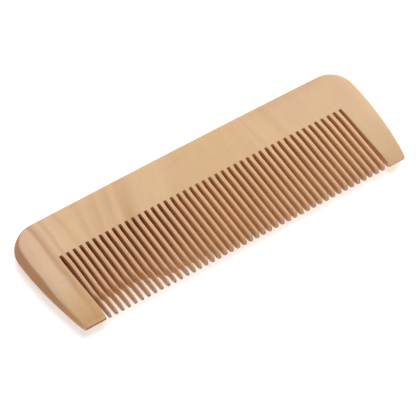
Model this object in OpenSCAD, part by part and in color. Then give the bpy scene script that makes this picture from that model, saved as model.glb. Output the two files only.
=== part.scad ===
// Wooden comb, sawn and shaped from one flat piece of wood.
// It lies flat: X runs along the comb, Y from the tooth tips to the spine, Z up.
// The origin is under the middle of its box, on the surface that it lies on.

/* [Blank] */
// Greatest length, across the bulge of the two ends
comb_length = 159.8; // [150:0.1:180]
// Width from the tooth tips to the middle of the spine
comb_width = 53.7; // [50:0.1:58]
// Thickness of the flat back
back_thickness = 8; // [7:0.1:9]
// Thickness at the tooth tips, before they are rounded
tip_thickness = 3.4; // [3:0.1:5]
// Distance from the tips to the middle of the bend where the taper starts
taper_length = 27.5; // [24:0.1:29]
// Length of the gentle bend between the taper and the flat back
taper_bend = 5; // [3:0.1:6]

/* [Outline] */
// Radius of each end's bulge, seen from above
end_radius = 157; // [120:1:200]
// Distance from the tips to the widest place of the ends
end_widest = 39; // [30:0.5:40]
// Rise of the spine from its ends to its middle
spine_arch = 0.85; // [0.3:0.05:2]
// Radius of the two corners at the spine
corner_radius = 12; // [8:0.1:14]
// How far the rounded edge bulges out beyond the rim of the faces
nose_depth = 2; // [1:0.1:2.4]

/* [Teeth] */
// Number of teeth between the two end guards
tooth_count = 44; // [30:1:44]
// Distance from one tooth to the next
tooth_pitch = 3; // [2.8:0.05:3]
// Distance from the tips to the floor of the middle slots
slot_length = 33.1; // [30:0.1:34]
// How much shorter the first and last slots are
slot_arch = 0.35; // [0:0.05:1]
// Width of a slot at its floor
slot_root_width = 1.3; // [1.1:0.05:1.5]
// Width of a slot at the tips, beside the guards
slot_tip_width = 1.4; // [1.2:0.05:1.6]
// Length of the rounded point of each tooth
tooth_point_length = 2; // [1:0.1:3]
// Width of the small flat at the end of each tooth
tooth_tip_flat = 0.6; // [0.3:0.05:0.8]

/* [Hidden] */
wood_colour = [0.86, 0.71, 0.54];
half_back = back_thickness / 2;
half_tip = tip_thickness / 2;
tip_y = -comb_width / 2;
spine_y = comb_width / 2;
// Angle between the tapered faces and the flat ones
slope = atan((half_back - half_tip) / taper_length);
// The nose is an arc that is nose_depth deep over the back's thickness
nose_radius = (pow(half_back, 2) + pow(nose_depth, 2)) / (2 * nose_depth);
nose_angle = asin(half_back / nose_radius);
// Centres of the arcs that the right half of the outline is made of
spine_radius = (pow(comb_length / 2, 2) + pow(spine_arch, 2)) / (2 * spine_arch);
end_centre = [comb_length / 2 - end_radius, tip_y + end_widest];
spine_centre = [0, spine_y - spine_radius];
corner_centre = circles_meet(end_centre, end_radius - corner_radius,
                             spine_centre, spine_radius - corner_radius);
// Directions in which those arcs start and stop; the end runs on a little past the tips
past_tips = 1;
end_start = asin((tip_y - end_centre.y) / end_radius) - past_tips;
end_stop = direction(end_centre, corner_centre);
corner_stop = direction(spine_centre, corner_centre);
spine_stop = 90;
tooth_tip_half = (tooth_pitch - slot_tip_width) / 2;
// How far the shapes that cut each other reach past each other
overshoot = 5;
// How far the steps along an arc may cut inside it, and the steps in the small arcs
arc_sag = 0.02;
nose_steps = 5;
round_steps = 6;
bend_steps = 4;

function direction(from, to) = atan2(to.y - from.y, to.x - from.x);

// The right-hand one of the two places where two circles cross
function circles_meet(p, rp, q, rq) =
    let (d = norm(q - p),
         along = (rp * rp - rq * rq + d * d) / (2 * d),
         across = sqrt(rp * rp - along * along),
         u = (q - p) / d,
         foot = p + along * u,
         one = foot + across * [-u.y, u.x],
         other = foot - across * [-u.y, u.x])
    one.x > other.x ? one : other;

function steps_on(radius, sweep) = ceil(sweep / (2 * acos(1 - arc_sag / radius)));

function arc(centre, radius, start, stop, steps) =
    [for (i = [0:steps])
        let (a = start + (stop - start) * i / steps)
        centre + radius * [cos(a), sin(a)]];

function mirrored(points) =
    [for (i = [len(points) - 1:-1:0]) [-points[i].x, points[i].y]];

// One arc of the outline, moved in by inset, up to where the next arc takes over
function outline_arc(centre, radius, inset, start, stop) =
    let (steps = steps_on(radius, stop - start),
         points = arc(centre, radius - inset, start, stop, steps))
    [for (i = [0:steps - 1]) points[i]];

// The whole outline at a distance inside the edge, from the right-hand guard to the left
function outline(inset) =
    let (right_half = concat(
            outline_arc(end_centre, end_radius, inset, end_start, end_stop),
            outline_arc(corner_centre, corner_radius, inset, end_stop, corner_stop),
            outline_arc(spine_centre, spine_radius, inset, corner_stop, spine_stop)))
    concat(right_half, [[0, spine_y - inset]], mirrored(right_half));

// Inset and height of a place on the nose, by its angle above the middle of the edge
function nose_place(angle) = [nose_radius * (1 - cos(angle)), nose_radius * sin(angle)];

// The slab with its rounded ends, corners and spine, before the faces are cut
module blank() {
    nose = [for (i = [-nose_steps:nose_steps]) nose_place(nose_angle * i / nose_steps)];
    below = nose[0] - [0, overshoot];
    above = nose[len(nose) - 1] + [0, overshoot];
    rings = [for (place = concat([below], nose, [above]))
        [for (p = outline(place[0])) [p.x, p.y, half_back + place[1]]]];
    count = len(rings[0]);
    last = len(rings) - 1;
    sides = [for (r = [0:last - 1]) for (i = [0:count - 1])
        let (here = r * count + i, next = r * count + (i + 1) % count)
        [here, here + count, next + count, next]];
    bottom = [for (i = [0:count - 1]) i];
    top = [for (i = [count - 1:-1:0]) last * count + i];
    polyhedron([for (ring = rings) each ring], concat(sides, [bottom, top]), convexity = 4);
}

// Upper half of the comb's section: the round tip, the sloping face, the bend, the flat back
function half_section() =
    let (bend_radius = taper_bend / 2 / tan(slope / 2),
         bend_y = tip_y + taper_length + taper_bend / 2)
    concat(
        arc([tip_y + half_tip, 0], half_tip, 180, 90 + slope, round_steps),
        arc([bend_y, half_back - bend_radius], bend_radius, 90 + slope, 90, bend_steps),
        [[spine_y + overshoot, half_back]]);

// A long bar with the comb's tapered section, which gives the blank its faces
module tapered_bar() {
    upper = half_section();
    lower = [for (i = [len(upper) - 1:-1:1]) [upper[i].x, -upper[i].y]];
    bar_length = comb_length + 2 * overshoot;
    translate([-bar_length / 2, 0, half_back])
        rotate([90, 0, 90])
            linear_extrude(bar_length) polygon(concat(upper, lower));
}

// The right side of a slot, seen from above: it points a tooth's tip, or runs straight by a guard
function slot_side(length, pointed) =
    let (tip_stop = 270 - asin(tooth_tip_flat / 2 / tooth_tip_half),
         tip = [for (p = arc([0, 0], 1, 180, tip_stop, round_steps))
             [tooth_pitch / 2 + p.x * tooth_tip_half, tooth_point_length * (1 + p.y)]],
         straight = [[slot_tip_width / 2, 0]],
         end = pointed ? tip : straight)
    concat([[slot_root_width / 2, length]], end, [[end[len(end) - 1].x, -overshoot]]);

module slot_shape(length, tooth_on_left, tooth_on_right) {
    polygon(concat(slot_side(length, tooth_on_right), mirrored(slot_side(length, tooth_on_left))));
}

module slots() {
    for (i = [0:tooth_count]) {
        from_middle = 2 * i / tooth_count - 1;
        translate([from_middle * tooth_count * tooth_pitch / 2, tip_y, -overshoot])
            linear_extrude(back_thickness + 2 * overshoot)
                slot_shape(slot_length - slot_arch * from_middle * from_middle,
                           i > 0, i < tooth_count);
    }
}

module comb() {
    color(wood_colour)
        difference() {
            intersection() {
                blank();
                tapered_bar();
            }
            slots();
        }
}

comb();
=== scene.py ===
# %% [markdown]
# # A wooden comb, sawn from one flat piece of beech
# The real comb is a single slat of pale hardwood. A gang saw cuts the slots, a sanding belt thins
# the teeth towards their tips, and an abrasive brush rounds whatever edge it can reach. This lesson
# names the sizes first. Then it makes the teeth, the outline, the guards and the back, and last the
# finish of the wood, the camera and the light.
#
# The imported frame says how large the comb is. Everything below is modelled in millimetres and in
# the frame's own axes: X along the comb, Y from the tooth tips to the spine, Z up. The finished
# mesh is scaled to metres once, at the end.

# %% The frame and the libraries
import math
import random

import bmesh
import bpy
from mathutils import Matrix, Vector


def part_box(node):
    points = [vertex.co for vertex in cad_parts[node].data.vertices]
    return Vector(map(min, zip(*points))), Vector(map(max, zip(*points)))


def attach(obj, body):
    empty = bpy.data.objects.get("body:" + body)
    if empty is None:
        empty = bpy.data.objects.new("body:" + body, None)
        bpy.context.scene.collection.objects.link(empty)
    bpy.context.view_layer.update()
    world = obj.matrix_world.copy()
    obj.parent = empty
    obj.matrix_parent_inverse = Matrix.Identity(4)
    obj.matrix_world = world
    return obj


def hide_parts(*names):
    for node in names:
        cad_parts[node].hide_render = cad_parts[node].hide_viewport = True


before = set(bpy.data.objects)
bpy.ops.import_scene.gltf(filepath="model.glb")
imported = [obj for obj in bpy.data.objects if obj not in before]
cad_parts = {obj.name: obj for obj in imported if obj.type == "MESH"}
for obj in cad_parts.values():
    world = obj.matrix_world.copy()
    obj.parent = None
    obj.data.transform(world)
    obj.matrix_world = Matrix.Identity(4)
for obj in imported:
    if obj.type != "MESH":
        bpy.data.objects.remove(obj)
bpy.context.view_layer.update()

MM = 0.001
comb_low, comb_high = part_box("comb")
comb_length, comb_width, back_thickness = (comb_high - comb_low) / MM
print(f"comb: {comb_length:.1f} x {comb_width:.1f} x {back_thickness:.1f} mm")

# %% [markdown]
# ## The sizes that the saw and the belt leave
# The frame gives the box around the comb. The sizes inside it are named here, in millimetres, as
# the comb maker would set them on the machines: how far apart the saw blades sit, how deep they
# go, where the belt begins to thin the wood, and how far each edge is rounded.

# %% Sizes of the comb, in millimetres
half_back = back_thickness / 2
half_length = comb_length / 2
tip_y = -comb_width / 2
spine_y = comb_width / 2
half_tip = 1.7
guard_tip_reach = 10.0
tooth_tip_reach = 3.0
taper_length = 27.5
taper_bend = 5.0
tooth_count = 44
tooth_pitch = 3.0
slot_length = 33.1
slot_arch = 0.35
slot_root_width = 1.3
slot_tip_width = 1.4
tooth_point_length = 1.5
tooth_tip_flat = 0.6
end_radius = 157.0
end_widest = 39.0
row_half = tooth_count * tooth_pitch / 2
print(f"{tooth_count} teeth, {tooth_pitch} mm apart, over {2 * row_half:.0f} mm")

# %% [markdown]
# ## The thickness from the tips to the back
# Seen from its end, the comb is a flat back that thins in a straight slope towards the tips. Near
# the tips the slope becomes half an ellipse: a long one on the guards, which closes in a thin
# edge, and a shorter one on the teeth, which end more bluntly. One function gives half the
# thickness at any distance from the tips. Every part of the mesh asks it for its height, so the
# teeth, the guards and the back meet in one surface.

# %% Half the thickness at a distance from the tips
taper = (half_back - half_tip) / taper_length
slope = math.atan(taper)
bend_radius = taper_bend / 2 / math.tan(slope / 2)
bend_end = taper_length + taper_bend / 2
bend_start = bend_end - bend_radius * math.sin(slope)


def half_thickness(from_tips, reach=guard_tip_reach):
    """Half the thickness; reach is how long the half ellipse at the tips is."""
    rise = taper * reach
    tip_half = math.sqrt((half_tip + rise) ** 2 - rise ** 2)
    if from_tips < reach * (1 - math.cos(math.atan2(tip_half, rise))):
        return tip_half * math.sqrt(max(1 - (1 - from_tips / reach) ** 2, 0.0))
    if from_tips < bend_start:
        return half_tip + taper * from_tips
    if from_tips < bend_end:
        return half_back - bend_radius + math.sqrt(bend_radius ** 2 - (bend_end - from_tips) ** 2)
    return half_back


shown = (0.5, 2.0, 15.0, 30.0)
print(f"thickness at {shown} mm:", [round(2 * half_thickness(place), 2) for place in shown])

# %% [markdown]
# ## Lofting by extrusion
# A comb is long bars that keep their kind of section and change its size. The plainest way to make
# such a bar is a chain of edges that is extruded again and again, each new chain being moved to
# the next section. The operator makes the faces and joins them to the last ones, and the script
# only says where a section lies. The back and the guards are made so in their upper half, and a
# mirror gives the lower one. The teeth are lofted above and below, as the two edges of a tooth
# aren't alike.

# %% A chain of edges, extruded from one section to the next
def new_chain(bm, places):
    chain = [bm.verts.new(place) for place in places]
    for a, b in zip(chain, chain[1:]):
        bm.edges.new((a, b))
    return chain


def extrude_chain(bm, chain, places):
    """Extrudes a chain of vertices and moves the new chain to the listed places."""
    edges = [bm.edges.get(pair) for pair in zip(chain, chain[1:])]
    made = bmesh.ops.extrude_edge_only(bm, edges=edges)["geom"]
    new = {item for item in made if isinstance(item, bmesh.types.BMVert)}
    following = []
    for vert, place in zip(chain, places):
        partner = next(e.other_vert(vert) for e in vert.link_edges if e.other_vert(vert) in new)
        partner.co = place
        following.append(partner)
    return following


def loft(bm, sections):
    """Lofts through sections, which are lists of places of one length, and returns the last chain."""
    chain = new_chain(bm, sections[0])
    for places in sections[1:]:
        chain = extrude_chain(bm, chain, places)
    return chain


# %% [markdown]
# ## The rounded edge of a sawn bar
# The saw leaves square edges, and sanding rounds them: hardly at all beside the floor of a slot,
# where the brush can't reach, and fully within a few millimetres of it. The rounded edge is a
# quarter of an ellipse, deeper than it is wide. Its first and last steps are small, so that the
# shading of the flat faces beside it stays flat.

# %% Quarter section of a bar: from the middle of its side wall to the edge of its top
edge_angles = [math.radians(a) for a in (0, 7, 30, 52, 73, 90)]
root_edge = 0.1
edge_points = 1 + len(edge_angles)


def sawn_edge(height, across, down, power=1.0):
    """Insets and heights from mid height of the wall up to where the top face starts."""
    points = [(0.0, 0.0)]
    for a in edge_angles:
        inset = across * (1 - abs(math.cos(a)) ** power)
        points.append((inset, height - down * (1 - math.sin(a) ** power)))
    return points


def smooth_share(value, start, stop):
    share = min(max((value - start) / (stop - start), 0.0), 1.0)
    return share * share * (3 - 2 * share)


def slot_floor(x):
    """Y of the slots' floors, on their gentle arch."""
    return tip_y + slot_length - slot_arch * (x / row_half) ** 2


# %% [markdown]
# ## The teeth
# A tooth is a bar with a blunt rounded point, so that it parts the hair and doesn't scratch. It is
# lofted from the tip to the floor of the slots beside it. At the root each point of the section is
# set back by its own inset. So the tooth's rounded edge and the edge of the slot floor meet in a
# clean mitre. The sanding brush turns one way, so it takes more off the edge that faces it: the
# left edge of the upper face, and the right edge of the lower one, as the comb is turned over
# between the two passes. No two teeth of a wooden comb are quite alike, and each one here has its
# own small differences. On the left half the pointing wheel went in deeper and took more from the
# left of each tooth. So the teeth there have a shoulder and a narrow point, which is half a
# centimetre long near the middle and a whole one at the left end.

# %% How the edges of the teeth are rounded, in millimetres
tooth_root_half = (tooth_pitch - slot_root_width) / 2
tooth_end_half = (tooth_pitch - slot_tip_width) / 2
# Each edge has a pair for the root and a pair for the tip: across the width, and down the wall.
near_edge = ((0.85, 0.4), (0.95, 1.7))
far_edge = ((0.75, 0.9), (0.25, 0.45))
# The quarter ellipse is fuller towards the root, and rounding sets in between two places there.
edge_fullness = 1.0
rounding_start = 33.1
rounding_ready = 29.3
# No edge takes more than these shares of the width and of the height.
most_across = 0.97
most_down = 0.96
# A tooth's own wear is full up to the first place and ends at the second one, and where a tooth is
# shorter than the rest, the third length takes that up.
worn_fully = 8.0
worn_ends = 30.0
shorter_length = 6.0

# %% Where the pointing wheel went deep, in millimetres from the middle and up from the tips
deep_from = -8.0
deep_to = -40.0
deep_length = 5.4
deeper_from = -32.0
deeper_to = -45.0
deeper_length = 4.8
# The shoulder lies between two shares of that length.
shoulder_start = 0.82
shoulder_end = 1.12
# The point is cut narrower on each side and leans to the right, in millimetres, and it is shorter
# and its tip is blunter by these shares.
deep_cut = 0.3
deep_lean = 0.32
shorter_point = 0.45
blunt_tip = 1.1

# %% The rows that the teeth and the guards are lofted through
tip_angles = (0, 5, 10, 16, 23, 31, 40, 48)
tip_rows = [guard_tip_reach * (1 - math.cos(math.radians(angle))) for angle in tip_angles]
shaft_rows = [4.2, 5.1, 6.0, 6.8, 7.6, 8.4, 9.2, 10.2, 11.2, 12.4, 14.2, 16.6, 19.1, 21.4, 23.5]
bend_rows = [bend_start, 26.3, 27.5, 28.7, bend_end, 30.9, 31.7, 32.5]
row_places = tip_rows + shaft_rows + bend_rows
print(f"{len(row_places)} rows from the tips to the roots")

# %% How far the teeth stray to the right of their even pitch, at places along the comb
strays = [
    (-66.0, 0.4), (-62.0, 0.15), (-57.0, 0.0), (-36.0, -0.15), (36.0, -0.15), (44.0, 0.15), (66.0, 0.2)]
stray_start = 4.0


def stray_at(x):
    """How far the teeth at x stand to the right of their even pitch."""
    for (a, before), (b, after) in zip(strays, strays[1:]):
        if x <= b:
            return before + (after - before) * (x - a) / (b - a)
    return strays[-1][1]


# %% The teeth, each with its own small differences
chance = random.Random(44)
teeth = []
for i in range(tooth_count):
    middle = (i + 0.5) * tooth_pitch - row_half
    deep = smooth_share(middle, deep_from, deep_to)
    teeth.append({
        "middle": middle,
        "deep": deep,
        "reach": deep_length + deeper_length * smooth_share(middle, deeper_from, deeper_to),
        "worn": chance.uniform(0.0, 0.03),
        "shorter": chance.uniform(0.0, 0.12),
        "point": tooth_point_length * chance.uniform(0.8, 1.1) * (1 - shorter_point * deep),
        "tip": tooth_tip_flat / 2 * chance.uniform(0.7, 1.0) * (1 + blunt_tip * deep),
        "rounding": chance.uniform(0.88, 1.05),
        "lean": chance.uniform(-0.03, 0.03),
        "strays": stray_at(middle),
    })
deep_count = sum(tooth["deep"] > 0 for tooth in teeth)
print(f"{len(teeth)} teeth, of which the deep pointing reaches {deep_count}")


# %% How deep the wheel went, and how wide that leaves a tooth
def deep_here(tooth, from_tips):
    """How much of the deep pointing a tooth has at a distance from the tips, from 0 to 1."""
    start = shoulder_start * tooth["reach"]
    end = shoulder_end * tooth["reach"]
    return tooth["deep"] * (1 - smooth_share(from_tips, start, end))


def half_tooth(tooth, from_tips):
    """Half the width of a tooth, which closes in a round point."""
    half = tooth_end_half + (tooth_root_half - tooth_end_half) * from_tips / slot_length
    half -= tooth["worn"] * (1 - smooth_share(from_tips, worn_fully, worn_ends))
    half -= deep_cut * deep_here(tooth, from_tips)
    if from_tips < tooth["point"]:
        half *= math.sqrt(max(1 - (1 - from_tips / tooth["point"]) ** 2, 0.0))
    return max(half, tooth["tip"])


# %% The section of a tooth
def tooth_edge(tooth, from_tips, sizes, deep=0.0):
    """How far one edge of a tooth is rounded, across its width and down its wall."""
    ready = tooth["rounding"] * (1 - smooth_share(from_tips, rounding_ready, rounding_start))
    along = min(from_tips / rounding_ready, 1.0)
    across, down = [
        root_edge + ready * (tip + (root - tip) * along - root_edge) for root, tip in zip(*sizes)]
    power = 2 / (2 + edge_fullness * along * ready)
    height = half_thickness(from_tips, tooth_tip_reach)
    across += deep * (half_tooth(tooth, from_tips) - across)
    down += deep * (height - down)
    return across, min(down, most_down * height), power


def tooth_section(tooth, from_tips, face, at_root=False):
    """Section of a tooth's upper half (face 1) or lower half (face -1), from right to left."""
    half = tooth_root_half if at_root else half_tooth(tooth, from_tips)
    height = half_thickness(from_tips, tooth_tip_reach)
    right, left = (far_edge, near_edge) if face > 0 else (near_edge, far_edge)
    right = tooth_edge(tooth, from_tips, right)
    left = tooth_edge(tooth, from_tips, left, deep_here(tooth, from_tips))
    fit = min(1.0, most_across * 2 * half / (right[0] + left[0]))
    if from_tips == 0:
        right = left = (half, 0.0, 1.0)
        fit = most_across
    right, left = (right[0] * fit,) + right[1:], (left[0] * fit,) + left[1:]
    outline = [(half - inset, inset, z) for inset, z in sawn_edge(height, *right)]
    outline += [((left[0] - right[0]) / 2, right[0], height)]
    outline += [(inset - half, inset, z) for inset, z in reversed(sawn_edge(height, *left))]
    lean = tooth["lean"] * (1 - from_tips / slot_length) + deep_lean * deep_here(tooth, from_tips)
    lean += tooth["strays"] * min((slot_length - from_tips) / stray_start, 1.0)
    cut = tooth["shorter"] * max(1 - from_tips / shorter_length, 0.0)
    places = []
    for x, inset, z in outline:
        if at_root:
            x += tooth["middle"]
            places.append(Vector((x, slot_floor(x) + inset, face * z)))
        else:
            places.append(Vector((tooth["middle"] + x + lean, tip_y + from_tips + cut, face * z)))
    return places


# %% A tooth, lofted through its sections
def add_tooth(bm, tooth, face):
    sections = [tooth_section(tooth, place, face) for place in row_places]
    sections.append(tooth_section(tooth, slot_length, face, at_root=True))
    loft(bm, sections)


# %% [markdown]
# ## The outline and its rounded nose
# The outline of the blank is three arcs on each side: a long flat one along the end, a tight one
# at the corner and an almost straight one along the spine. All the way round, the edge is sanded
# to a round nose that runs out into the flat face as a faint crown. At the left end the belt has
# taken more and left a sloping facet there. The comb was shaped by hand on the belt, so its two
# ends differ a little in the arch of the spine and in the radius of the corner. A station is a
# place on an arc of the outline, and the nose is set out from it, inwards along the arc's radius.

# %% The arcs of the outline
end_centre = Vector((half_length - end_radius, tip_y + end_widest))


def circles_meet(p, p_radius, q, q_radius):
    """The right-hand one of the two places where two circles cross."""
    gap = (q - p).length
    along = (p_radius ** 2 - q_radius ** 2 + gap ** 2) / (2 * gap)
    across = math.sqrt(p_radius ** 2 - along ** 2)
    u = (q - p) / gap
    sideways = Vector((-u.y, u.x)) * across
    foot = p + u * along
    return max(foot + sideways, foot - sideways, key=lambda place: place.x)


def direction(start, end):
    return math.atan2(end.y - start.y, end.x - start.x)


def outline_arcs(spine_arch, corner_radius):
    """The arcs of the spine and of the corner at one end, and where the outline turns into them."""
    spine_radius = (half_length ** 2 + spine_arch ** 2) / (2 * spine_arch)
    spine_centre = Vector((0.0, spine_y - spine_radius))
    corner_centre = circles_meet(end_centre, end_radius - corner_radius,
                                 spine_centre, spine_radius - corner_radius)
    return {
        "spine": (spine_centre, spine_radius),
        "corner": (corner_centre, corner_radius),
        "end stops": direction(end_centre, corner_centre),
        "corner stops": direction(spine_centre, corner_centre),
    }


# %% The two noses: arcs in a row, from mid height up to the flat face
nose_shares = ((0.5, 1.0), (0.06, 0.5, 0.94, 1.0), (0.25, 0.5, 0.75, 1.0), (0.35, 0.7, 0.93, 1.0))
nose_thinning = 3.0


def nose_points(turns, radii):
    """Insets and heights along arcs that meet where their normals rise by the turns, in degrees."""
    points = [(0.0, 0.0)]
    for radius, start, stop, shares in zip(radii, turns, turns[1:], nose_shares):
        inset, z = points[-1]
        first = math.radians(start)
        for share in shares:
            angle = math.radians(start + share * (stop - start))
            points.append((inset + radius * (math.cos(first) - math.cos(angle)),
                           z + radius * (math.sin(angle) - math.sin(first))))
    size = half_back / points[-1][1]
    return [(inset * size, z * size) for inset, z in reversed(points)]


round_nose = nose_points((0, 6, 30, 77, 90), (10.0, 2.6, 2.6, 19.0))
worn_nose = nose_points((0, 40, 45, 76, 90), (1.5, 33.0, 1.7, 17.0))
rim_inset = round_nose[0][0]
print(f"the nose is {rim_inset:.1f} mm wide, and {worn_nose[0][0]:.1f} mm at the left end")


# %% The edge where half the thickness is height: wear 0 is the round nose and 1 the worn facet
def edge_profile(height, wear, width=1.0):
    """Insets and heights of the nose, which also narrows where the wood is thinner."""
    size = height / half_back
    points = []
    for (a, z), (b, worn_z) in zip(round_nose, worn_nose):
        inset = width * (a + wear * (b - a)) * size ** nose_thinning
        points.append((inset, (z + wear * (worn_z - z)) * size))
    return points


def edge_places(station):
    """The nose at a station: an arc's centre and radius, an angle, the wear and the nose's width."""
    centre, radius, angle, wear, width = station
    out = Vector((math.cos(angle), math.sin(angle)))
    places = []
    for inset, z in edge_profile(half_back, wear, width):
        place = centre + (radius - inset) * out
        places.append(Vector((place.x, place.y, z)))
    return places


# %% [markdown]
# ## The guards
# The two end guards are broad teeth that shield the fine ones. On the inner side a guard has a
# sawn edge, as a tooth has, and on the outer side it has the nose. Both are lofted as one chain,
# from the tip to the level of the slot floors. The two ends differ in how worn the nose is, in how
# far the sawn wall strays towards the teeth at its tip, and in their arcs. So each has its own values.

# %% Sizes of the guards, in millimetres, and what sets the two ends apart
guard_columns = 6
guard_corner = 0.8
guard_inner_corner = 0.6
guard_edge_full = 0.4
guard_edge_most = 0.8
guard_wear = 0.82
guard_stray_full = 3.0
guard_stray_ends = 31.0
right_end = {"wear": 0.0, "strays": -0.4, **outline_arcs(spine_arch=0.65, corner_radius=10.8)}
left_end = {"wear": 1.0, "strays": 1.1, **outline_arcs(spine_arch=0.4, corner_radius=12.4)}


# %% A guard's section at a distance from the tips
def corner_inset(from_tips, radius):
    """How far the round of a guard's corner takes the wall in."""
    if from_tips >= radius:
        return 0.0
    return radius - math.sqrt(radius ** 2 - (radius - from_tips) ** 2)


def guard_inner(from_tips, strayed):
    """X of the guard's sawn wall, with the small round of its inner corner."""
    x = row_half + slot_tip_width / 2 + (slot_root_width - slot_tip_width) / 2 * from_tips / slot_length
    x -= strayed * (1 - smooth_share(from_tips, guard_stray_full, guard_stray_ends))
    return x + corner_inset(from_tips, guard_inner_corner)


def guard_outer(from_tips):
    """X of the outline at a guard, with the small round of its outer corner."""
    x = end_centre.x + math.sqrt(end_radius ** 2 - (tip_y + from_tips - end_centre.y) ** 2)
    return x - corner_inset(from_tips, guard_corner)


def guard_section(from_tips, end, at_root=False):
    """Section of a guard's upper half, from its sawn wall over its face and down its nose."""
    height = half_thickness(from_tips)
    share = 1 - smooth_share(from_tips, rounding_ready, rounding_start)
    edge = min(root_edge + share * (guard_edge_full - root_edge), guard_edge_most * height)
    inner = guard_inner(from_tips, end["strays"])
    flat = []
    for inset, z in sawn_edge(height, edge, edge):
        flat.append((inner + inset, inset, z))
    nose = []
    for inset, z in edge_profile(height, guard_wear * end["wear"]):
        nose.append((guard_outer(from_tips) - inset, edge, z))
    start, stop = flat[-1][0], nose[0][0]
    for i in range(1, guard_columns):
        flat.append((start + (stop - start) * i / guard_columns, edge, height))
    places = []
    for x, inset, z in flat + nose:
        y = slot_floor(row_half) + inset if at_root else tip_y + from_tips
        places.append(Vector((x, y, z)))
    return places


# %% A guard, lofted through its sections
def add_guard(bm, end):
    sections = [guard_section(from_tips, end) for from_tips in row_places]
    sections.append(guard_section(slot_length, end, at_root=True))
    loft(bm, sections)


# %% [markdown]
# ## The back
# Above the slots the comb is a plain slab. Its top face is lofted from the line of the slot floors
# to the spine. The part over the teeth goes straight up. The end block has to turn the corner, so
# its grid is blended from its four sides: the last slot's line, the rim of the end, the rim of the
# spine, and the line of the slot floors, with the grid's corner half way round the round corner.

# %% Rows and stations that the back is lofted through
end_rows = 4
turn_rows = 5
first_row = 0.016
end_share = 0.46
back_shares = [0.0, first_row] + [end_share * i / (end_rows - 1) for i in range(1, end_rows)]
back_shares += [end_share + (1 - end_share) * i / turn_rows for i in range(1, turn_rows + 1)]
# The nose along the spine as a share of the one at the ends, and where on the corner the wear stops.
spine_nose_width = 0.8
wear_stops = 0.9
root_angle = math.asin((slot_floor(row_half) - end_centre.y) / end_radius)


def corner_station(share, end):
    """A station on the round corner: share 0 is where the end stops and 1 where the spine starts."""
    angle = end["end stops"] + share * (end["corner stops"] - end["end stops"])
    wear = end["wear"] * (1 - smooth_share(share, 0.0, wear_stops))
    width = 1 + (spine_nose_width - 1) * smooth_share(share, 0.0, 1.0)
    return *end["corner"], angle, wear, width


def end_stations(end):
    """Stations up the end, from the level of the slot floors to half way round the corner."""
    stations = []
    for share in back_shares[:end_rows + 1]:
        up = share / end_share
        angle = root_angle + (end["end stops"] - root_angle) * up
        wear = end["wear"] * (guard_wear + (1 - guard_wear) * up)
        stations.append((end_centre, end_radius, angle, wear, 1.0))
    for i in range(1, turn_rows + 1):
        stations.append(corner_station(0.5 * i / turn_rows, end))
    return stations


def spine_station(x, end):
    centre, radius = end["spine"]
    angle = math.acos(x / (radius - spine_nose_width * rim_inset))
    return centre, radius, angle, 0.0, spine_nose_width


def corner_stations(end):
    """Stations from the start of the corner at the spine to half way round it."""
    turns = guard_columns - 1
    return [corner_station(1 - 0.5 * i / turns, end) for i in range(turns + 1)]


# %% The front line of the top face, along the slot floors
def front_line():
    """X of the columns of the top face, from the middle of the comb to the last slot."""
    columns = [0.0]
    for i in range(tooth_count // 2):
        middle = (i + 0.5) * tooth_pitch
        reach = tooth_root_half - root_edge
        columns += [middle - reach, middle, middle + reach]
    columns.append(guard_section(slot_length, right_end)[edge_points - 1].x)
    return columns


def front_place(x):
    return Vector((x, slot_floor(min(x, row_half)) + root_edge, half_back))


# %% The top face, the end block and the spine's nose
def add_back(bm, end):
    """Lofts the top face from the slot floors to the rim of the spine."""
    columns = front_line()
    fronts = [front_place(x) for x in columns]
    rims = [edge_places(spine_station(x, end))[0] for x in columns]
    loft(bm, [[a.lerp(b, share) for a, b in zip(fronts, rims)] for share in back_shares])


def add_end_block(bm, end):
    """Lofts the top face and the nose above a guard."""
    root = guard_section(slot_length, end, at_root=True)[edge_points - 1:]
    front = root[:guard_columns + 1]
    inner_rim = edge_places(spine_station(front[0].x, end))[0]
    inner_line = [front[0].lerp(inner_rim, share) for share in back_shares]
    noses = [root[guard_columns:]] + [edge_places(s) for s in end_stations(end)[1:]]
    top = [inner_line[-1]] + [edge_places(s)[0] for s in corner_stations(end)]
    sections = []
    for row, share in enumerate(back_shares):
        left, right = inner_line[row], noses[row][0]
        flat = []
        for column in range(guard_columns):
            across = column / guard_columns
            sides = left.lerp(right, across)
            ends = front[column].lerp(top[column], share)
            corners = front[0].lerp(front[-1], across).lerp(top[0].lerp(top[-1], across), share)
            flat.append(sides + ends - corners)
        sections.append(flat + noses[row])
    loft(bm, sections)


def add_spine_nose(bm, end):
    stations = [spine_station(x, end) for x in front_line()] + corner_stations(end)
    rings = [edge_places(station) for station in stations]
    loft(bm, [list(level) for level in zip(*rings)])


# %% [markdown]
# ## The floors of the slots
# Between two teeth the saw leaves a flat floor. Its section is the same quarter as the edge of
# the teeth beside it, so the chain at one tooth's root is extruded across to the next.

# %% Slot floors
def floor_chain(x, side):
    """The sawn edge at a tooth's root: side is 1 for its right wall and -1 for its left one."""
    places = []
    for inset, z in sawn_edge(half_back, root_edge, root_edge):
        place_x = x - side * inset
        places.append(Vector((place_x, slot_floor(place_x) + inset, z)))
    return places


def add_slot_floors(bm):
    middle_chain = [Vector((0.0, place.y, place.z)) for place in floor_chain(0.0, 0)]
    starts = [middle_chain]
    stops = []
    for i in range(tooth_count // 2):
        middle = (i + 0.5) * tooth_pitch
        stops.append(floor_chain(middle - tooth_root_half, -1))
        starts.append(floor_chain(middle + tooth_root_half, 1))
    stops.append(guard_section(slot_length, right_end, at_root=True)[:edge_points])
    for start, stop in zip(starts, stops):
        loft(bm, [start, stop])


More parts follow.
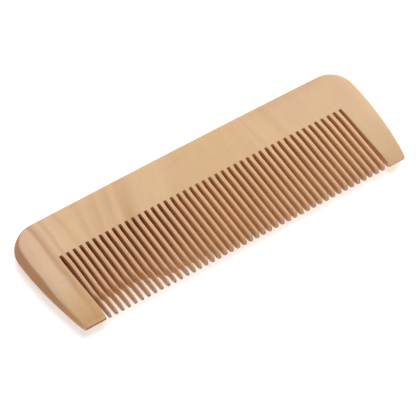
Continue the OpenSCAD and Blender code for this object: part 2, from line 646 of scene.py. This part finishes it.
# %% [markdown]
# ## One piece of wood
# The upper half of the right end is made as it lies. The left one is made in the same way with its
# own values, and turned over to the left. One mirror then makes the lower half of both, as the
# two faces are alike. The teeth are lofted one by one, above and below. At last everything that
# lies in the same place is merged, which leaves one closed skin.

# %% Put the comb together
weld = 0.004
carrier = bpy.data.meshes.new("carrier")


def add_made(bm, make, *values, side=1):
    """Makes a part in a small bmesh of its own, where operators are quick, and adds it to bm."""
    part = bmesh.new()
    make(part, *values)
    bmesh.ops.scale(part, verts=part.verts, vec=(side, 1, 1))
    part.to_mesh(carrier)
    part.free()
    bm.from_mesh(carrier)


bm = bmesh.new()
for side, end in ((1, right_end), (-1, left_end)):
    add_made(bm, add_slot_floors, side=side)
    for make in (add_back, add_guard, add_end_block, add_spine_nose):
        add_made(bm, make, end, side=side)
bmesh.ops.remove_doubles(bm, verts=bm.verts, dist=weld)
everything = bm.verts[:] + bm.edges[:] + bm.faces[:]
bmesh.ops.mirror(bm, geom=everything, matrix=Matrix(), merge_dist=weld, axis="Z")
for tooth in teeth:
    for face in (1, -1):
        add_made(bm, add_tooth, tooth, face)
bpy.data.meshes.remove(carrier)
bmesh.ops.remove_doubles(bm, verts=bm.verts, dist=weld)
bmesh.ops.dissolve_degenerate(bm, edges=bm.edges, dist=weld / 10)
bmesh.ops.recalc_face_normals(bm, faces=bm.faces)
open_edges = [e for e in bm.edges if not e.is_manifold]
print(f"comb: {len(bm.verts)} vertices, {len(bm.faces)} faces, {len(open_edges)} open edges")
print(f"wood: {bm.calc_volume() / 1000:.1f} cm3")

# %% Lay the comb on the floor, in metres, and hand it to the frame
bmesh.ops.translate(bm, verts=bm.verts, vec=(0, 0, half_back))
bmesh.ops.scale(bm, verts=bm.verts, vec=(MM, MM, MM))
mesh = bpy.data.meshes.new("comb_wood")
bm.to_mesh(mesh)
bm.free()
mesh.shade_smooth()
comb = bpy.data.objects.new("comb_wood", mesh)
bpy.context.scene.collection.objects.link(comb)
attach(comb, "root")
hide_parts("comb")

# %% [markdown]
# ## The wood
# Beech is a pale pinkish brown wood with a fine, even grain. Its growth bands run along the teeth,
# because a tooth that is cut along the grain doesn't snap. The slat is fine-sanded and left bare,
# so it is matt, and only a broad faint sheen shows that it is smooth. Where the brush rubs the
# teeth and the narrow walls between them, the wood is redder, hands have tanned the ends of the
# guards, and the fibre ends at the tips are greyer. Shade is painted into the colour as well: on the
# edge of the left end, deep in the slots and at the tips, and a little painted light brightens the
# guards' tips. A photograph wrapped round the comb would show all this from one side only. So it is
# drawn by nodes on the comb's own coordinates, and the grain runs through the wood and comes out on
# every face, as it does in a real slat.

# %% Colours, and the one function that adds a node
def linear(hex_colour):
    """Turns an sRGB hex colour into the linear colour that the shaders work with."""
    parts = [int(hex_colour[i:i + 2], 16) / 255 for i in (1, 3, 5)]
    return [c / 12.92 if c <= 0.04045 else ((c + 0.055) / 1.055) ** 2.4 for c in parts] + [1.0]


def add_node(tree, kind, inputs, output=0, **settings):
    """Adds a node with its settings, fills its inputs from values or sockets, returns an output."""
    node = tree.nodes.new("ShaderNode" + kind)
    for name, value in settings.items():
        setattr(node, name, value)
    for name, value in inputs.items():
        if isinstance(value, bpy.types.NodeSocket):
            tree.links.new(value, node.inputs[name])
        else:
            node.inputs[name].default_value = value
    return node.outputs[output] if len(node.outputs) else node


wood = bpy.data.materials.new("sanded_beech")
wood.use_nodes = True
tree = wood.node_tree
tree.nodes.clear()

# %% Where a point lies on the comb, in millimetres: X from the middle, Y from the tooth tips
object_place = add_node(tree, "TexCoord", {}, "Object")
place_mm = add_node(tree, "Mapping", {
    "Vector": object_place, "Location": (0.0, -tip_y, 0.0), "Scale": (1 / MM, 1 / MM, 1 / MM)})
x_mm, y_mm, z_mm = add_node(tree, "SeparateXYZ", {"Vector": place_mm}).node.outputs
face_z = add_node(tree, "SeparateXYZ", {"Vector": object_place.node.outputs["Normal"]}, "Z")
from_middle = add_node(tree, "Math", {0: x_mm}, operation="ABSOLUTE")
levelness = add_node(tree, "Math", {0: face_z}, operation="ABSOLUTE")

# %% [markdown]
# ### Where the wood changes
# The stains and the painted shading, the grain's slant and the brushed walls all need the same
# thing: a share that grows smoothly from 0 at one place to 1 at another. A table lists them, in
# millimetres along the comb or up from the tips, and one loop makes a Map Range node for each. The
# last three rows ask how level the surface is: the faces are level, and the walls and the edge aren't.

# %% Shares that fade from 0 to 1 between two places
fades = {
    "slant begins": (x_mm, -58.0, -40.0),
    "slant ends": (x_mm, 25.0, -10.0),
    "on a guard": (from_middle, row_half - 0.2, row_half + 0.4),
    "off the guards": (from_middle, row_half + 0.4, row_half - 0.2),
    "in the row": (from_middle, row_half + 4.0, row_half + 2.0),
    "at the slots": (y_mm, slot_length + 2.0, slot_length),
    "below the roots": (y_mm, slot_length + 0.5, slot_length - 4.0),
    "guard's end": (y_mm, 24.0, 0.0),
    "near the tips": (y_mm, 12.0, 1.0),
    "near the roots": (y_mm, 5.0, 20.0),
    "near the spine": (y_mm, comb_width - 8.0, comb_width - 2.0),
    "at the tips": (y_mm, 2.0, 0.0),
    "at the rims": (y_mm, 0.45, 0.1),
    "left half": (x_mm, row_half, -row_half),
    "right half": (x_mm, 0.0, 55.0),
    "left teeth": (x_mm, -8.0, -27.0),
    "right teeth": (x_mm, -27.0, -8.0),
    "left end": (x_mm, -60.0, -76.0),
    "on a wall": (levelness, 0.6, 0.1),
    "off the walls": (levelness, 0.2, 0.75),
    "on the edge": (levelness, 0.96, 0.7),
}
fade = {}
for name, (value, start, stop) in fades.items():
    fade[name] = add_node(tree, "MapRange", {"Value": value, "From Min": start, "From Max": stop},
                          interpolation_type="SMOOTHSTEP")
print(f"{len(fade)} fades")

# %% [markdown]
# ### The growth bands
# A slat of beech shows the yearly growth of the tree as soft bands, one to five millimetres wide. In
# the middle of the comb they run straight up from the teeth. On its left they slant, so that part of
# the pattern is sheared: each millimetre up moves it sideways by the slant. A slow noise lets the
# bands wander. A colour ramp holds them, so every band can have its own place, width and colour.

# %% The direction of the grain
grain_slant = 0.3
wander_size = 16.0
wander_width = 3.0
slant = add_node(tree, "Math", {0: fade["slant begins"], 1: fade["slant ends"]}, operation="MULTIPLY")
slant = add_node(tree, "Math", {0: slant, 1: grain_slant}, operation="MULTIPLY")
over_roots = add_node(tree, "Math", {0: y_mm, 1: slot_length}, operation="SUBTRACT")
moved = add_node(tree, "Math", {0: slant, 1: over_roots}, operation="MULTIPLY")
straight_x = add_node(tree, "Math", {0: x_mm, 1: moved}, operation="SUBTRACT")
grain_place = add_node(tree, "CombineXYZ", {"X": straight_x, "Y": y_mm, "Z": z_mm})
wander = add_node(tree, "TexNoise", {"Vector": place_mm, "Scale": 1 / wander_size, "Detail": 1.0})
wander = add_node(tree, "Math", {0: wander, 1: 0.5}, operation="SUBTRACT")
growth_x = add_node(tree, "Math", {0: wander, 1: wander_width, 2: straight_x}, operation="MULTIPLY_ADD")

# %% The bands across the slat: where each colour is pure, in millimetres from the middle
pale_wood = "#d1ae86"
warm_wood = "#ceaa7f"
grey_wood = "#d3b291"
light_wood = "#cfad88"
brown_wood = "#c9a37d"
faint_brown = "#cca680"
growth_line = "#ba926e"
growth_bands = [
    (-80.0, grey_wood), (-70.2, grey_wood), (-68.6, growth_line), (-67.2, brown_wood),
    (-65.4, grey_wood), (-63.6, brown_wood), (-62.4, grey_wood), (-58.5, pale_wood),
    (-57.2, brown_wood), (-56.0, pale_wood), (-53.0, pale_wood), (-51.4, brown_wood),
    (-49.6, pale_wood), (-46.0, brown_wood), (-44.0, pale_wood), (-40.0, brown_wood),
    (-37.5, pale_wood), (-35.5, brown_wood), (-32.0, brown_wood), (-28.0, pale_wood),
    (-16.0, pale_wood), (-9.0, faint_brown), (-4.0, warm_wood), (24.0, warm_wood),
    (29.0, pale_wood), (30.2, faint_brown), (31.4, pale_wood), (37.5, pale_wood),
    (39.8, faint_brown), (42.0, pale_wood), (52.0, light_wood), (80.0, light_wood)]
across_slat = add_node(tree, "MapRange", {
    "Value": growth_x, "From Min": -half_length, "From Max": half_length})
colour = add_node(tree, "ValToRGB", {"Fac": across_slat})
ramp = colour.node.color_ramp
for i, (x, band) in enumerate(growth_bands):
    stop = ramp.elements[i] if i < 2 else ramp.elements.new(1.0)
    stop.position = min(max((x + half_length) / (2 * half_length), 0.0), 1.0)
    stop.color = linear(band)
print(f"{len(ramp.elements)} growth bands over {2 * half_length:.0f} mm")

# %% [markdown]
# ### Redder, darker and greyer places
# A list holds each place's colour, how much of it shows at most, and the fades that are
# multiplied to find it. Most are the wood's own colours, and some are painted shade or painted light.
# The tops of the teeth are redder, as the brush has opened fresh wood there, and paler again on the
# right. The walls of the slots are an orange brown, and painted shade darkens them towards the roots
# on the left and near the tips on the right. Painted shade darkens the edge of the left end, which
# faces away from the key lamp. The spine is a little browner on the right. The guards' ends are
# tanned by hands, more on the left, and painted light brightens their tips against the shade of their
# round ends. The tips of the teeth are greyer and a little darker, partly as greyed fibre ends and
# partly as painted shade, and on the left a painted shade lines the rims of the tips. A brown streak
# of heartwood, which a round gradient draws, comes up from the roots left of the middle.

# %% The stains and the painted shade and light, one over the other
# The heartwood's middle and how far it reaches from there, in millimetres.
heart_middle = (-33.5, 34.0, 6.0)
heart_reach = (5.0, 15.0, 14.0)
heart_place = add_node(tree, "Mapping", {
    "Vector": grain_place, "Location": heart_middle, "Scale": heart_reach}, vector_type="TEXTURE")
fade["heartwood"] = add_node(tree, "TexGradient", {"Vector": heart_place}, "Fac",
                             gradient_type="QUADRATIC_SPHERE")
stains_and_painted_shading = [
    ("#d6a37f", 0.60, ("below the roots", "off the guards", "off the walls")),
    ("#dcb48c", 0.60, ("below the roots", "off the guards", "off the walls", "right half")),
    ("#d3a87c", 0.50, ("on a wall",)),
    ("#d8a873", 1.00, ("on a wall", "at the slots", "in the row")),
    # Painted shade: the walls of the slots darker towards the roots on the left.
    ("#b4784c", 0.60, ("on a wall", "at the slots", "in the row", "near the roots", "left teeth")),
    # Painted shade: the walls of the slots darker near the tips, middle and right.
    ("#b58058", 0.70, ("on a wall", "near the tips", "off the guards", "right teeth")),
    ("#c6a68c", 0.90, ("on a wall", "near the tips", "off the guards", "left teeth")),
    # Painted shade on the edge of the left end, which faces away from the key lamp.
    ("#c08d69", 1.00, ("on the edge", "left end")),
    ("#bd9470", 0.40, ("near the spine", "right half")),
    ("#c1905d", 0.75, ("on a guard", "guard's end", "left half")),
    ("#c39a6c", 0.35, ("on a guard", "guard's end")),
    # Greyer fibre ends at the tips of the teeth, with painted shade there too.
    ("#c4a48a", 0.80, ("at the tips", "off the guards")),
    # Painted light on the guards' tips, against the shade of their round ends.
    ("#e2bb90", 0.60, ("at the tips", "on a guard")),
    # Painted shade along the rims of the tips on the left.
    ("#7f624c", 0.75, ("at the rims", "left half")),
    ("#b98a60", 0.75, ("heartwood",)),
]
for tint_colour, most, names in stains_and_painted_shading:
    share = most
    for name in names:
        share = add_node(tree, "Math", {0: share, 1: fade[name]}, operation="MULTIPLY")
    colour = add_node(tree, "Mix", {0: share, 6: colour, 7: linear(tint_colour)}, 2, data_type="RGBA")
print(f"{len(stains_and_painted_shading)} stains over the growth bands")

# %% [markdown]
# ### Fibres, rays, clouds and sanding marks
# Four noises are stretched along or across the grain. Their sizes come from real ones, but the
# render shows 0.4 mm to a pixel, so what is finer is drawn as coarse as it needs to show:
# beech fibres and pores are 0.1 mm wide and are drawn 0.55 mm wide, the scratches of 240 grit are
# 0.06 mm wide and are drawn 0.45 mm wide across the teeth. The rays of beech are real flecks 0.7 mm
# wide and 2 to 3 mm long, and the clouds are as wide as a finger. They are true to size.

# %% Four noises, with their sizes in millimetres along X, Y and Z, their detail and their roughness
patterns = {
    "fibres": ((0.55, 14.0, 0.55), 3.0, 0.6),
    "rays": ((0.7, 2.6, 0.7), 1.0, 0.5),
    "clouds": ((9.0, 16.0, 9.0), 2.0, 0.5),
    "sanding": ((7.0, 0.45, 1.6), 2.0, 0.6),
}
noise = {}
for name, (size, detail, roughness) in patterns.items():
    place = add_node(tree, "Mapping", {"Vector": grain_place, "Scale": [1 / length for length in size]})
    value = add_node(tree, "TexNoise", {
        "Vector": place, "Scale": 1.0, "Detail": detail, "Roughness": roughness})
    noise[name] = add_node(tree, "Math", {0: value, 1: 2.0, 2: -1.0}, operation="MULTIPLY_ADD")

# %% How much lighter or darker the noises make the wood
fibre_depth = 0.08
cloud_depth = 0.06
ray_depth = 0.07
brightness = add_node(tree, "MapRange", {
    "Value": noise["rays"], "From Min": 0.2, "From Max": 0.6, "To Min": 1.0, "To Max": 1.0 - ray_depth},
    interpolation_type="SMOOTHSTEP")
for name, depth in (("fibres", fibre_depth), ("clouds", cloud_depth)):
    brightness = add_node(tree, "Math", {
        0: noise[name], 1: depth, 2: brightness}, operation="MULTIPLY_ADD")
colour = add_node(tree, "VectorMath", {0: colour, "Scale": brightness}, operation="SCALE")

# %% The relief of the fibres and of the sanding marks on the teeth, and the shader
relief_height = 0.06
relief_strength = 0.35
fibre_relief = 0.5
on_teeth = add_node(tree, "Math", {
    0: fade["below the roots"], 1: fade["off the guards"]}, operation="MULTIPLY")
scratches = add_node(tree, "Math", {0: noise["sanding"], 1: on_teeth}, operation="MULTIPLY")
relief = add_node(tree, "Math", {
    0: noise["fibres"], 1: fibre_relief, 2: scratches}, operation="MULTIPLY_ADD")
bump = add_node(tree, "Bump", {
    "Height": relief, "Strength": relief_strength, "Distance": relief_height * MM})
shader = add_node(tree, "BsdfPrincipled", {
    "Base Color": colour, "Roughness": 0.6, "IOR": 1.5, "Specular IOR Level": 0.2, "Normal": bump})
add_node(tree, "OutputMaterial", {"Surface": shader})
mesh.materials.append(wood)
print(f"sanded_beech: {len(tree.nodes)} nodes")

# %% [markdown]
# ## The camera
# The comb is seen from its front left and from above, by a long lens about a metre away, so its far
# end looks hardly smaller than its near one. The camera is set up from the view: how far it is
# turned, how high it looks down from, how far off it is, and which point of the comb's middle plane
# it looks at. The lens follows from how large the comb stands in the frame.

# %% Set up the camera; lengths in millimetres, angles in degrees
view_turn = math.radians(33.871)
view_height = math.radians(52.010)
view_distance = 1003.9
aim_right = -16.247
aim_up = 13.280
lens = 224.05

flat = math.cos(view_height)
back = Vector((-math.sin(view_turn) * flat, -math.cos(view_turn) * flat, math.sin(view_height)))
right = Vector((math.cos(view_turn), -math.sin(view_turn), 0.0))
up = back.cross(right)
eye = Vector((0.0, tip_y, half_back)) + aim_right * right + aim_up * up + view_distance * back
camera = bpy.data.objects.new("camera", bpy.data.cameras.new("camera"))
camera.matrix_world = Matrix.Translation(eye * MM) @ Matrix((right, up, back)).transposed().to_4x4()
camera.data.sensor_width = 36.0
camera.data.lens = lens
bpy.context.scene.collection.objects.link(camera)
bpy.context.scene.camera = camera
bpy.context.scene.view_settings.view_transform = "Standard"
print("camera at", [round(value, 3) for value in camera.matrix_world.translation])

# %% [markdown]
# ## Floor and light
# The comb lies on a plain white floor. A wide soft lamp stands high behind the comb and to its
# right. It lights the faces and leaves the walls of the slots in shade. A smaller one on the same
# side brightens the right edge, and a weak one in front lifts the near walls. The floor is a board
# with matt white paint, which shows no reflection beside the comb. It glows a little, as a light
# table does, so that the gaps between the tips stay white.

# %% The floor: how brightly it glows, and half its side in metres
floor_glow = 0.42
floor_reach = 2.0
floor_mesh = bpy.data.meshes.new("floor")
bm = bmesh.new()
bmesh.ops.create_grid(bm, x_segments=1, y_segments=1, size=floor_reach)
bm.to_mesh(floor_mesh)
bm.free()
floor = bpy.data.objects.new("floor", floor_mesh)
bpy.context.scene.collection.objects.link(floor)
paint = bpy.data.materials.new("matt_white_paint")
paint.use_nodes = True
paint.node_tree.nodes.clear()
white = linear("#ffffff")
coat = add_node(paint.node_tree, "BsdfPrincipled", {
    "Base Color": linear("#f3f3f3"), "Roughness": 0.9,
    "Emission Color": white, "Emission Strength": floor_glow})
add_node(paint.node_tree, "OutputMaterial", {"Surface": coat})
floor_mesh.materials.append(paint)

# %% The lamps: how bright each leaves a face turned to it, its size, turn, height and distance
lamps = {
    "key": (1.17, 2.0, 50.0, 55.0, 1.6),
    "side": (0.06, 0.8, 70.0, 30.0, 1.2),
    "front": (0.14, 1.0, 215.0, 35.0, 1.4),
}
for name, (brightness, size, turn, height, distance) in lamps.items():
    turn, height = math.radians(turn), math.radians(height)
    level = math.cos(height)
    out = Vector((math.sin(turn) * level, math.cos(turn) * level, math.sin(height)))
    lamp = bpy.data.lights.new(name, "AREA")
    lamp.energy = brightness * math.pi ** 2 * distance ** 2 / math.sin(height)
    lamp.size = size
    light = bpy.data.objects.new(name, lamp)
    light.location = out * distance
    light.rotation_mode = "QUATERNION"
    light.rotation_quaternion = out.to_track_quat("Z", "Y")
    bpy.context.scene.collection.objects.link(light)
print(f"{len(lamps)} lamps")

# %% The soft light from all round
room_light = 0.15
world = bpy.data.worlds.new("studio")
world.use_nodes = True
world.node_tree.nodes["Background"].inputs["Color"].default_value = white
world.node_tree.nodes["Background"].inputs["Strength"].default_value = room_light
bpy.context.scene.world = world
